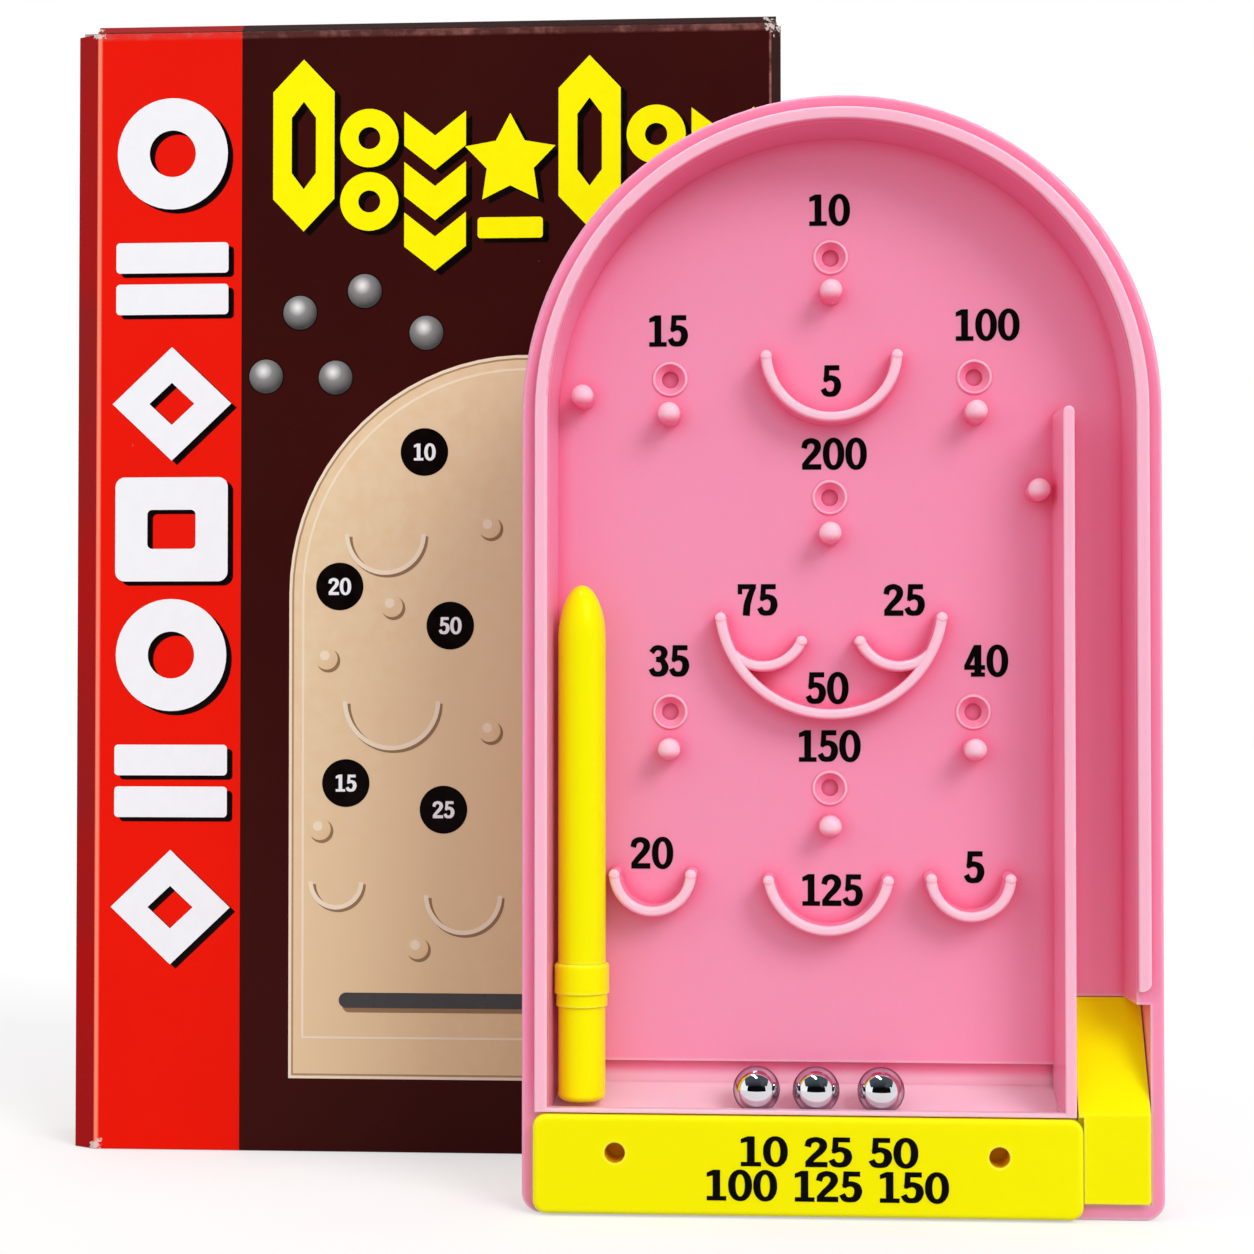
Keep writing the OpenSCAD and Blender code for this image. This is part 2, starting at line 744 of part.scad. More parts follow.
// A flat panel whose front part slopes down to the front panel's top edge
module carton_lid() {
    x0 = -carton_w / 2 + bevel_l;
    x1 = carton_w / 2 - bevel_r / 2;
    front_y = -carton_d / 2;
    color(print_maroon) in_carton() translate([x0, 0, 0]) rotate([90, 0, 90]) linear_extrude(x1 - x0) {
        polygon([
            [carton_d / 2, lid_z], [carton_d / 2, carton_h], [front_y + bevel_t, carton_h],
            [front_y, carton_h - bevel_t], [front_y + board_t, carton_h - bevel_t],
            [front_y + bevel_t + board_t / 2, lid_z],
        ]);
    }
}

module carton_tuck_flap() {
    tuck_w = inner_w - 2 * bevel_l - 2 * crease_r;
    color(board_grey) in_carton() translate([0, -inner_d / 2 + flap_gap, front_z - tuck_h]) {
        translate([-tuck_w / 2, 0, 0]) cube([tuck_w, board_t, tuck_h]);
    }
}

// One dust flap folds down beside the wall that it is hinged to
module dust_flap() {
    y0 = -inner_d / 2 + bevel_d + flap_gap;
    y1 = carton_d / 2 - crease_r - flap_gap;
    color(board_grey) in_carton() translate([flap_gap - inner_w / 2, y0, front_z + flap_gap / 2]) {
        cube([dust_w, y1 - y0, lid_z - front_z - flap_gap]);
    }
}

module left_dust_flap() dust_flap();

module right_dust_flap() translate([2 * carton_x, 0, 0]) mirror([1, 0, 0]) dust_flap();

// The bottom panel, cut back beside the bevels
module carton_bottom() {
    color(print_maroon) in_carton() linear_extrude(board_t) carton_plan(board_t + flap_gap);
}

module bottom_dust_flaps() {
    flap_d = inner_d - 2 * bevel_d;
    color(board_grey) in_carton() for (s = [-1, 1]) {
        translate([s * (inner_w - dust_w) / 2 - s * flap_gap, 0, board_t]) linear_extrude(board_t) {
            square([dust_w, flap_d], center = true);
        }
    }
}

playfield_tray();
cover_plate();
launch_ramp();
cue_barrel();
cue_plug();
ball_left();
ball_middle();
ball_right();
carton_sleeve();
carton_lid();
carton_tuck_flap();
left_dust_flap();
right_dust_flap();
carton_bottom();
bottom_dust_flaps();
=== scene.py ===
import math

import bmesh
import bpy
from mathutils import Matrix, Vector


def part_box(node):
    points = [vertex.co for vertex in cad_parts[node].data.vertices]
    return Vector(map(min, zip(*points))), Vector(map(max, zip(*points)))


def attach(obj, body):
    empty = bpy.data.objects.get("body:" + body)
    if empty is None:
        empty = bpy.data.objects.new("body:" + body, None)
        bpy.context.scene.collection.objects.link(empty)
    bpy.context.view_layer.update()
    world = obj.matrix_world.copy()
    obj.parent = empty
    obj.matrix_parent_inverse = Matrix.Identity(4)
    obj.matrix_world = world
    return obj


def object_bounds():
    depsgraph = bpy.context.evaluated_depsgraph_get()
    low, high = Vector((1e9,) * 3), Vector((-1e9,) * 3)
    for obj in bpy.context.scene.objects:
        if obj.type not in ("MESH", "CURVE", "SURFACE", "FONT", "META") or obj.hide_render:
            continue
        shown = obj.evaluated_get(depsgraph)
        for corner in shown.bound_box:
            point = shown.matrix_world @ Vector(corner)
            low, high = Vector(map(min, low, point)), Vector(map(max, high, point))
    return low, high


MM = 0.001

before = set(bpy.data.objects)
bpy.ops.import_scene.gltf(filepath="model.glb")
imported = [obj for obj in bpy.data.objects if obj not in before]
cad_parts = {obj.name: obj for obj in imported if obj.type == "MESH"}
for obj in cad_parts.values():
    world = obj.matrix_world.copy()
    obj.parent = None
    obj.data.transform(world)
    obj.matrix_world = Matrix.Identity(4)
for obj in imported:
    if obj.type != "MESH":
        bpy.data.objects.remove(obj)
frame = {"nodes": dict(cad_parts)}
cad_lo, cad_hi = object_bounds()
nodes = frame["nodes"]
tray_lo, tray_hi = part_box("playfield_tray")
carton_lo, carton_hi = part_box("carton_sleeve")
cover_lo, cover_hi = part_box("cover_plate")

# The tray's middle, back and field, and the cover's and the carton's faces
TRAY_X = (tray_lo.x + tray_hi.x) / 2
TRAY_BACK = tray_hi.y
FIELD_Y = TRAY_BACK - 5 * MM
COVER_X = (cover_lo.x + cover_hi.x) / 2
COVER_FRONT = cover_lo.y
CARTON_X = (carton_lo.x + carton_hi.x) / 2
CARTON_Y = (carton_lo.y + carton_hi.y) / 2
CARTON_FRONT = carton_lo.y
CARTON_TOP = carton_hi.z
LID_TOP = cad_hi.z

# The carton's creased bevels (left, right, top), its red band and its board
BEVEL_L, BEVEL_R, BEVEL_T = 6.8 * MM, 2.8 * MM, 2.4 * MM
BAND_X = CARTON_X - 56.7 * MM
BOARD_T = 1 * MM

# Printed marks: their thickness, and how far they stand off what they are printed on
INK_T = 0.05 * MM
INK_GAP = 0.01 * MM
INK_LEVEL = 0.06 * MM


def rgb(r, g, b):
    """An sRGB colour from 0 to 255 as linear RGBA."""
    def linear(c):
        c /= 255
        return c / 12.92 if c <= 0.04045 else ((c + 0.055) / 1.055) ** 2.4
    return (linear(r), linear(g), linear(b), 1.0)


def add(obj):
    """Put a new object into the scene."""
    bpy.context.scene.collection.objects.link(obj)
    return obj


# ---------------------------------------------------------------- materials

class Nodes:
    """Short ways to build a node tree."""

    def __init__(self, tree):
        self.tree = tree
        tree.nodes.clear()

    def node(self, kind, **settings):
        made = self.tree.nodes.new(kind)
        for name, value in settings.items():
            setattr(made, name, value)
        return made

    def link(self, output, socket):
        self.tree.links.new(output, socket)

    def math(self, operation, *values):
        made = self.node("ShaderNodeMath", operation=operation)
        for socket, value in zip(made.inputs, values):
            if isinstance(value, (int, float)):
                socket.default_value = value
            else:
                self.link(value, socket)
        return made.outputs[0]

    def plus(self, a, b):
        return self.math("ADD", a, b)

    def minus(self, a, b):
        return self.math("SUBTRACT", a, b)

    def times(self, a, b):
        return self.math("MULTIPLY", a, b)

    def most(self, a, b):
        return self.math("MAXIMUM", a, b)

    def below(self, a, b):
        return self.math("LESS_THAN", a, b)

    def above(self, a, b):
        return self.math("GREATER_THAN", a, b)

    def size(self, a):
        return self.math("ABSOLUTE", a)

    def length(self, a, b):
        return self.math("SQRT", self.plus(self.times(a, a), self.times(b, b)))

    def remap(self, value, from_a, from_b, to_a=0.0, to_b=1.0):
        """The value moved from one range to another, and held inside it."""
        made = self.node("ShaderNodeMapRange")
        for name, limit in (("From Min", from_a), ("From Max", from_b), ("To Min", to_a), ("To Max", to_b)):
            made.inputs[name].default_value = limit
        self.link(value, made.inputs["Value"])
        return made.outputs[0]

    def mix(self, factor, a, b):
        """Colour a where the factor is 0 and b where it is 1; each a colour, a number or an output."""
        made = self.node("ShaderNodeMix", data_type="RGBA")
        self.link(factor, made.inputs[0])
        for socket, value in ((made.inputs[6], a), (made.inputs[7], b)):
            if isinstance(value, tuple):
                socket.default_value = value
            elif isinstance(value, float):
                socket.default_value = (value, value, value, 1.0)
            else:
                self.link(value, socket)
        return made.outputs[2]

    def axes(self, vector):
        made = self.node("ShaderNodeSeparateXYZ")
        self.link(vector, made.inputs[0])
        return made.outputs


class Shader(Nodes):
    """A material with a Principled BSDF and its usual textures."""

    def __init__(self, name, **values):
        self.mat = bpy.data.materials.new(name)
        self.mat.use_nodes = True
        super().__init__(self.mat.node_tree)
        out = self.node("ShaderNodeOutputMaterial")
        self.bsdf = self.node("ShaderNodeBsdfPrincipled")
        self.link(self.bsdf.outputs[0], out.inputs[0])
        for socket, value in values.items():
            self.bsdf.inputs[socket.replace("_", " ")].default_value = value
        coord = self.node("ShaderNodeTexCoord")
        self.place = coord.outputs["Object"]
        self.normal = coord.outputs["Normal"]
        self.extent = coord.outputs["Generated"]

    def noise(self, scale, detail=3.0, rough=0.5, stretch=None):
        made = self.node("ShaderNodeTexNoise")
        made.inputs["Scale"].default_value = scale
        made.inputs["Detail"].default_value = detail
        made.inputs["Roughness"].default_value = rough
        place = self.place
        if stretch:
            mapping = self.node("ShaderNodeMapping")
            mapping.inputs["Scale"].default_value = stretch
            self.link(place, mapping.inputs[0])
            place = mapping.outputs[0]
        self.link(place, made.inputs["Vector"])
        return made.outputs[0]

    def occlusion(self, distance, inside=False):
        """1 in the open, less within a distance of other surfaces, or of edges where inside."""
        made = self.node("ShaderNodeAmbientOcclusion", samples=3, inside=inside, only_local=True)
        made.inputs["Distance"].default_value = distance
        return made.outputs["AO"]

    def colour(self, value):
        self.link(value, self.bsdf.inputs["Base Color"])

    def rough(self, value):
        self.link(value, self.bsdf.inputs["Roughness"])

    def bump(self, height, distance, strength=1.0, soft=0.0):
        """Relief of a height; soft rounds off the edges' normals by that radius."""
        made = self.node("ShaderNodeBump")
        made.inputs["Strength"].default_value = strength
        made.inputs["Distance"].default_value = distance
        self.link(height, made.inputs["Height"])
        if soft:
            bevel = self.node("ShaderNodeBevel", samples=4)
            bevel.inputs["Radius"].default_value = soft
            self.link(bevel.outputs[0], made.inputs["Normal"])
        self.link(made.outputs[0], self.bsdf.inputs["Normal"])


def moulded(name, base, deep, painted_glow, edge, gloss, tint, sss, radius, scale, painted_glow_rise=None):
    """Glossy moulded plastic, with light painted into its colour: a painted glow in its creases and a painted
    highlight on its edges.

    The painted glow is weaker below the two heights given last, between which it comes up.
    """
    rough = 0.2
    s = Shader(name, Roughness=rough, IOR=1.49, Specular_IOR_Level=gloss, Specular_Tint=tint,
               Subsurface_Weight=sss, Subsurface_Radius=radius, Subsurface_Scale=scale)
    tone = s.mix(s.remap(s.noise(7, 1, 0.4, (1.0, 1.0, 0.6)), 0.3, 0.7), base, deep)
    # Painted glow: within 4.5 mm of other surfaces, creases take a brighter, deeper colour that stands in for
    # light bounced through the plastic
    painted_crease_glow = s.remap(s.occlusion(4.5 * MM), 0.9, 0.35, 0.0, 0.9)
    if painted_glow_rise:
        painted_crease_glow = s.times(painted_crease_glow, s.remap(s.axes(s.place)[2], *painted_glow_rise, 0.2, 1.0))
    tone = s.mix(painted_crease_glow, tone, painted_glow)
    # Painted highlight: within 0.9 mm of convex edges the colour turns paler; s.tone holds the colour with
    # the painted glow and this painted highlight
    s.tone = s.mix(s.remap(s.occlusion(0.9 * MM, True), 0.96, 0.55, 0.0, 0.85), tone, edge)
    s.colour(s.tone)
    s.rough(s.remap(s.noise(30, 2), 0.3, 0.7, rough - 0.02, rough + 0.03))
    skin = s.plus(s.noise(1400, 2), s.times(s.noise(30, 1), 2.0))
    s.bump(skin, 0.01 * MM, 0.5, 0.5 * MM)
    return s


def pink_plastic():
    """The tray: ribs and rim paler in front and the ledge pale, as painted highlight and painted light;
    undersides deep pink and cups dark, as painted shade.
    """
    # The crease colour given here is a painted glow, and the edge colour a painted highlight
    s = moulded("pink_plastic", base=rgb(252, 156, 190), deep=rgb(249, 149, 184), painted_glow=rgb(255, 96, 146),
                edge=rgb(255, 206, 222), gloss=0.35, tint=(1.0, 0.86, 0.9, 1.0), sss=0.45,
                radius=(1.0, 0.28, 0.4), scale=5 * MM, painted_glow_rise=(30 * MM, 38 * MM))
    x, y, z = s.axes(s.place)
    nx, ny, nz = s.axes(s.normal)

    def in_front_of(depth, run, strength):
        """Strength in front of a depth from the tray's back, coming up over a run."""
        return s.remap(y, TRAY_BACK - depth, TRAY_BACK - depth - run, 0.0, strength)

    # Painted highlight: ribs and pegs end between 12 and 18 mm, and the rim begins at 23 mm; the step between
    # gets none and stays a deeper pink
    rib_and_peg_highlight = s.times(in_front_of(12.2 * MM, 1.6 * MM, 0.8),
                   s.remap(y, TRAY_BACK - 18.0 * MM, TRAY_BACK - 18.6 * MM, 1.0, 0.0))
    raised_highlight = s.times(s.most(rib_and_peg_highlight, in_front_of(23.2 * MM, 0.6 * MM, 0.55)), s.remap(ny, -0.1, -0.5))
    # Painted light: on the ledge, faces looking up and front faces set back behind the field turn paler
    recess_light = s.times(s.remap(y, FIELD_Y + 1.6 * MM, FIELD_Y + 2.4 * MM, 0.0, 0.6), s.remap(ny, -0.5, -0.8))
    shelf_light = s.times(s.most(s.remap(nz, 0.6, 0.9, 0.0, 0.75), recess_light), s.remap(z, 34 * MM, 36 * MM, 1.0, 0.0))
    tone = s.mix(s.most(raised_highlight, shelf_light), s.tone, rgb(255, 212, 225))
    # Painted shade: faces looking down, above the ledge, turn a deeper pink
    under_shade = s.times(s.remap(nz, -0.15, -0.7, 0.0, 0.75), s.remap(z, 60 * MM, 70 * MM))
    tone = s.mix(under_shade, tone, rgb(255, 98, 146))
    # Painted shade: the cups' hollows turn a dark pink
    cup_shade = s.times(s.remap(y, FIELD_Y + 0.6 * MM, FIELD_Y + 2.2 * MM, 0.0, 0.85),
                  s.remap(s.occlusion(4 * MM), 0.45, 0.2))
    s.colour(s.mix(cup_shade, tone, rgb(176, 74, 100)))
    return s.mat


def yellow_plastic(name):
    # The crease colour given here is a painted glow, and the edge colour a painted highlight
    return moulded(name, base=rgb(254, 246, 3), deep=rgb(252, 241, 2), painted_glow=rgb(255, 222, 0),
                   edge=rgb(255, 253, 80), gloss=0.3, tint=(1.0, 0.95, 0.12, 1.0), sss=0.25,
                   radius=(1.0, 0.8, 0.1), scale=3 * MM)


def cover_plastic():
    """The yellow plastic, with painted shade in the cover's two blind holes: a deep orange inside."""
    hole_x, hole_z, hole_r = 51.2 * MM, 17 * MM, 2.78 * MM
    s = yellow_plastic("cover_plastic")
    x, y, z = s.axes(s.place)
    # Painted shade: a deep orange inside the two holes
    across = s.minus(s.size(s.minus(x, COVER_X)), hole_x)
    hole_shade = s.times(s.below(s.length(across, s.minus(z, hole_z)), hole_r),
                   s.remap(y, COVER_FRONT + 0.3 * MM, COVER_FRONT + 1.2 * MM))
    s.colour(s.mix(hole_shade, s.tone, rgb(255, 190, 12)))
    return s.mat


def polished_steel():
    s = Shader("polished_steel", Metallic=1.0, Roughness=0.03, Specular_Tint=(0.2, 0.15, 0.17, 1.0))
    s.colour(s.mix(s.remap(s.noise(90, 2), 0.3, 0.7), rgb(222, 222, 226), rgb(212, 213, 218)))
    s.rough(s.remap(s.noise(500, 3), 0.35, 0.7, 0.02, 0.05))
    s.bump(s.noise(1800, 2), 0.003 * MM, 0.2)
    return s.mat


def fibres(s, dark):
    """Bare grey board with a darker fleck."""
    return s.mix(s.remap(s.noise(700, 5, 0.7), 0.3, 0.7), rgb(171, 163, 150), dark)


def printed_board():
    """The carton: red band and maroon outside, with painted shade on its left, right and top faces and
    bevels, a painted highlight at the left crease and pale lines at the others that are part wear and part
    painted highlight, and bare board inside.
    """
    s = Shader("printed_board", Roughness=0.3, IOR=1.5, Specular_IOR_Level=0.05)
    x, y, z = s.axes(s.place)
    nx, ny, nz = s.axes(s.normal)
    in_band = s.below(x, BAND_X)
    tone = s.remap(s.noise(12, 2), 0.3, 0.7)
    red = s.mix(tone, rgb(238, 23, 4), rgb(233, 21, 5))
    maroon = s.mix(tone, rgb(60, 15, 12), rgb(55, 13, 11))
    printed = s.mix(in_band, maroon, red)

    # Painted shade: the left side, and the bevels and faces at the right and the top, are darker, as they
    # turn from the light
    left = s.below(nx, -0.3)
    right = s.times(s.above(nx, 0.3), s.below(ny, -0.3))
    top = s.above(nz, 0.3)
    cloudy = s.remap(s.noise(9, 2, 0.5, (1.0, 1.0, 2.0)), 0.35, 0.65)
    side_shade_red = s.mix(cloudy, rgb(176, 4, 4), rgb(150, 20, 22))
    printed = s.mix(left, printed, side_shade_red)
    printed = s.mix(s.most(right, top), printed, s.mix(in_band, rgb(44, 9, 8), rgb(150, 12, 10)))

    # Creases: a painted highlight, a clear pale line, beside the left bevel, and pale lines beside the right
    # and the top one that are part wear and part painted highlight
    front = s.below(ny, -0.9)
    grain = s.noise(150, 5, 0.7)
    from_left = s.size(s.minus(x, carton_lo.x + BEVEL_L + 0.7 * MM))
    from_right = s.size(s.minus(x, carton_hi.x - BEVEL_R - 0.3 * MM))
    highlight_line_left = s.remap(from_left, 0.3 * MM, 0.9 * MM, 1.0, 0.0)
    line_right = s.remap(from_right, 0.15 * MM, 0.55 * MM, 1.0, 0.0)
    line_top = s.remap(z, CARTON_TOP - 4.0 * MM, CARTON_TOP - 3.1 * MM)
    printed = s.mix(s.times(front, highlight_line_left), printed, rgb(255, 140, 112))
    wear_and_highlight = s.most(s.times(line_right, s.remap(grain, 0.38, 0.6, 0.15, 0.8)),
                  s.times(line_top, s.remap(grain, 0.45, 0.65, 0.12, 0.5)))
    printed = s.mix(s.times(front, wear_and_highlight), printed, rgb(182, 120, 112))

    # Scuffs at the front's four corners: their middle and how far they reach
    corner = None
    for cx, cz, reach in ((carton_lo.x + BEVEL_L, CARTON_TOP - BEVEL_T, 5 * MM),
                          (carton_hi.x - BEVEL_R, CARTON_TOP - BEVEL_T, 8 * MM),
                          (carton_lo.x + BEVEL_L, 0.0, 5 * MM), (carton_hi.x - BEVEL_R, 0.0, 5 * MM)):
        near = s.remap(s.length(s.minus(x, cx), s.minus(z, cz)), 0.0, reach, 1.0, 0.0)
        corner = near if corner is None else s.most(corner, near)
    corner = s.times(corner, s.remap(y, CARTON_FRONT + 4 * MM, CARTON_FRONT + 7 * MM, 1.0, 0.0))
    scuff = s.above(s.plus(s.times(corner, 0.32), s.noise(210, 6, 0.75)), 0.74)
    printed = s.mix(s.times(scuff, 0.85), printed, rgb(224, 212, 206))

    # Bare board: the faces that look towards the carton's middle, and the cut edges
    away = s.times(nx, s.minus(x, CARTON_X))
    away = s.plus(away, s.times(ny, s.minus(y, CARTON_Y)))
    away = s.plus(away, s.times(nz, s.minus(z, CARTON_TOP / 2)))
    cut = s.most(s.times(s.above(s.size(nz), 0.9), s.below(z, LID_TOP - 0.7 * BOARD_T)),
                 s.times(s.above(s.size(nx), 0.9), s.above(z, LID_TOP - 2.55 * BOARD_T)))
    bare = s.most(s.below(away, 0.0), cut)
    s.colour(s.mix(bare, printed, fibres(s, rgb(146, 138, 126))))
    s.rough(s.mix(s.most(bare, scuff), s.remap(s.noise(40, 3), 0.3, 0.7, 0.26, 0.34), 0.85))
    s.bump(s.plus(s.noise(900, 3), s.times(s.noise(18, 2), 10.0)), 0.012 * MM, 0.5, 0.5 * MM)
    return s.mat


def grey_board():
    s = Shader("grey_board", Roughness=0.85, IOR=1.45)
    s.colour(fibres(s, rgb(152, 144, 132)))
    s.rough(s.remap(s.noise(200, 3), 0.3, 0.7, 0.78, 0.92))
    s.bump(s.noise(1500, 4, 0.6), 0.04 * MM, 0.6, 0.3 * MM)
    return s.mat


INK_RELIEF = 0.004 * MM


def ball_print():
    """A printed ball: a grey disc with a soft light spot up to the left."""
    s = Shader("ball_print", Roughness=0.35, IOR=1.5, Specular_IOR_Level=0.2)
    across, _, up = s.axes(s.extent)
    far = s.length(s.minus(across, 0.42), s.minus(up, 0.66))
    grey = s.mix(s.remap(far, 0.03, 0.26), rgb(240, 240, 240), rgb(142, 142, 142))
    grey = s.mix(s.remap(far, 0.24, 0.6), grey, rgb(62, 60, 60))
    s.colour(s.mix(s.remap(s.noise(300, 3), 0.35, 0.75, 0.0, 0.12), grey, rgb(150, 148, 148)))
    s.bump(s.noise(2500, 2), INK_RELIEF, 0.4)
    return s.mat


def beige_ink():
    """The printed panel: paler towards its top left."""
    s = Shader("beige_ink", Roughness=0.36, IOR=1.5, Specular_IOR_Level=0.2)
    across, _, up = s.axes(s.extent)
    down_right = s.plus(s.times(across, 0.5), s.times(s.minus(1.0, up), 0.5))
    soft = s.mix(s.remap(down_right, 0.2, 0.9), rgb(236, 211, 174), rgb(227, 193, 147))
    s.colour(s.mix(s.remap(s.noise(260, 3), 0.35, 0.75), soft, rgb(233, 203, 162)))
    s.bump(s.noise(2500, 2), INK_RELIEF, 0.4)
    return s.mat


def ink(name, colour, rough, gloss, uneven):
    """Screen-printed ink: very slightly uneven in cover."""
    s = Shader(name, Roughness=rough, IOR=1.5, Specular_IOR_Level=gloss)
    light = tuple(min(1.0, c * uneven + 0.001) for c in colour[:3]) + (1.0,)
    s.colour(s.mix(s.remap(s.noise(300, 3), 0.35, 0.75), colour, light))
    s.rough(s.remap(s.noise(300, 2), 0.3, 0.7, rough - 0.05, rough + 0.06))
    s.bump(s.noise(2500, 2), INK_RELIEF, 0.4)
    return s.mat


PINK = pink_plastic()
YELLOW = yellow_plastic("yellow_plastic").mat
COVER = cover_plastic()
STEEL = polished_steel()
PRINTED = printed_board()
BOARD = grey_board()
BALL_PRINT = ball_print()
BEIGE_INK = beige_ink()
BLACK_INK = ink("black_ink", rgb(5, 4, 5), 0.4, 0.03, 1.6)
SHADE_INK = ink("shade_ink", rgb(10, 3, 3), 0.36, 0.05, 1.6)
WHITE_INK = ink("white_ink", rgb(242, 243, 247), 0.34, 0.1, 1.02)
YELLOW_INK = ink("yellow_ink", rgb(252, 246, 2), 0.32, 0.03, 1.02)
TAN_INK = ink("tan_ink", rgb(176, 142, 106), 0.34, 0.2, 1.05)
PALE_INK = ink("pale_ink", rgb(244, 226, 200), 0.34, 0.2, 1.02)
SHADOW_INK = ink("shadow_ink", rgb(150, 118, 86), 0.34, 0.2, 1.05)
BAR_INK = ink("bar_ink", rgb(62, 60, 62), 0.3, 0.3, 1.15)

for material, names in (
        (PINK, ("playfield_tray",)), (COVER, ("cover_plate",)),
        (YELLOW, ("launch_ramp", "cue_barrel", "cue_plug")),
        (STEEL, ("ball_left", "ball_middle", "ball_right")),
        (PRINTED, ("carton_sleeve", "carton_lid")),
        (BOARD, ("carton_bottom", "carton_tuck_flap", "left_dust_flap", "right_dust_flap",
                 "bottom_dust_flaps"))):
    for name in names:
        mesh = nodes[name].data
        mesh.materials.clear()
        mesh.materials.append(material)

# ---------------------------------------------------------------- printed marks

# Outlines of plain digits in thousandths of their height: (advance, loops)
DIGITS = {
    "0": (0.735, [
        "340,131 308,150 264,222 242,296 228,388 223,500 228,612 242,704 264,778 292,832 324,862 "
        "340,869 380,869 396,862 428,832 468,743 486,660 496,560 496,440 486,340 468,257 443,193 "
        "412,150 380,131",
        "406,-30 488,-4 524,18 590,79 618,117 664,207 681,258 705,370 711,432 711,568 695,688 "
        "664,793 618,883 559,954 488,1004 406,1030 314,1030 272,1020 196,982 161,954 102,883 78,840 "
        "39,742 25,688 9,568 9,432 25,312 56,207 102,117 161,46 232,-4 314,-30",
    ]),
    "1": (0.665, [
        "618,133 438,133 438,1018 231,1018 42,921 42,776 217,826 217,133 42,133 42,-18 618,-18",
    ]),
    "2": (0.69, [
        "648,163 240,163 329,268 504,436 567,519 617,607 634,657 642,710 641,761 631,812 613,862 "
        "585,908 545,948 500,977 400,1014 347,1022 293,1022 188,998 138,976 91,947 49,903 34,876 "
        "-4,707 175,659 211,792 234,812 288,840 312,846 349,840 408,798 422,744 419,708 403,661 "
        "368,597 319,533 190,391 20,170 29,163 22,163 22,-18 648,-18",
    ]),
    "3": (0.665, [
        "387,-14 483,14 530,45 567,83 598,126 623,176 639,233 643,296 632,357 610,415 546,523 "
        "516,556 571,626 606,710 612,755 609,801 597,845 577,887 548,927 510,959 470,982 386,1011 "
        "304,1023 223,1015 144,985 106,956 5,834 152,718 225,823 242,839 273,851 306,853 340,839 "
        "378,811 393,778 390,720 365,658 216,627 232,550 215,474 363,442 379,427 413,327 417,278 "
        "409,238 384,188 355,168 306,152 262,151 207,174 149,290 -16,202 56,63 94,25 137,2 180,-11 "
        "265,-21",
    ]),
    "4": (0.715, [
        "332,642 332,363 194,363",
        "673,123 558,123 558,207 678,207 678,363 558,363 558,1018 319,1018 11,363 2,363 2,207 "
        "332,207 332,123 217,123 217,-18 673,-18",
    ]),
    "5": (0.68, [
        "408,-12 458,1 510,29 573,94 603,144 644,253 655,308 657,363 638,472 618,523 588,572 545,615 "
        "499,644 410,676 328,691 263,688 273,847 598,847 598,1018 113,1018 88,595 62,573 85,540 "
        "81,465 126,479 148,447 231,495 316,518 347,506 391,476 409,452 420,413 426,358 421,303 "
        "403,233 380,184 356,166 307,152 262,151 207,174 149,290 -16,202 56,63 94,25 137,2 180,-11 "
        "265,-21",
    ]),
    "7": (0.68, [
        "444,253 461,367 526,616 609,852 628,852 628,1018 32,1018 32,682 178,682 178,852 411,852 "
        "348,716 261,477 229,350 209,211 191,-8 426,-28",
    ]),
}


def loops_of(text):
    """Outlines of a row of digits, one unit high, centred on 0."""
    space, half_gap = 0.45, 0.015
    out, at = [], 0.0
    for ch in text:
        if ch == " ":
            at += space
            continue
        advance, loops = DIGITS[ch]
        for loop in loops:
            pairs = (pair.split(",") for pair in loop.split())
            out.append([(at + float(a) / 1000, float(b) / 1000) for a, b in pairs])
        at += advance
    return [[(a - at / 2 + half_gap, b - 0.5) for a, b in loop] for loop in out]


def printed_shape(name, loops, y, material, body):
    """A thin printed mark facing the front: loops of (x, z) in metres, its back at y."""
    curve = bpy.data.curves.new(name, "CURVE")
    curve.dimensions = "2D"
    curve.fill_mode = "BOTH"
    curve.extrude = INK_T / 2
    for loop in loops:
        spline = curve.splines.new("POLY")
        spline.points.add(len(loop) - 1)
        for point, (a, b) in zip(spline.points, loop):
            point.co = (a, b, 0, 1)
        spline.use_cyclic_u = True
    outline = add(bpy.data.objects.new(name + "_curve", curve))
    mesh = bpy.data.meshes.new_from_object(outline)
    bpy.data.objects.remove(outline)
    bm = bmesh.new()
    bm.from_mesh(mesh)
    bmesh.ops.remove_doubles(bm, verts=bm.verts, dist=1e-7)
    for v in bm.verts:
        v.co = Vector((v.co.x, y - INK_T / 2 - v.co.z, v.co.y))
    bmesh.ops.recalc_face_normals(bm, faces=bm.faces)
    bm.to_mesh(mesh)
    bm.free()
    mesh.name = name
    mesh.use_auto_texspace = True
    mesh.materials.clear()
    mesh.materials.append(material)
    obj = add(bpy.data.objects.new(name, mesh))
    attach(obj, body)


def digits(name, text, x, z, y, height, body, wide=1.0, material=BLACK_INK):
    """A row of digits with its middle at x and z."""
    loops = [[(x + a * height * wide, z + b * height) for a, b in loop] for loop in loops_of(text)]
    printed_shape(name, loops, y, material, body)


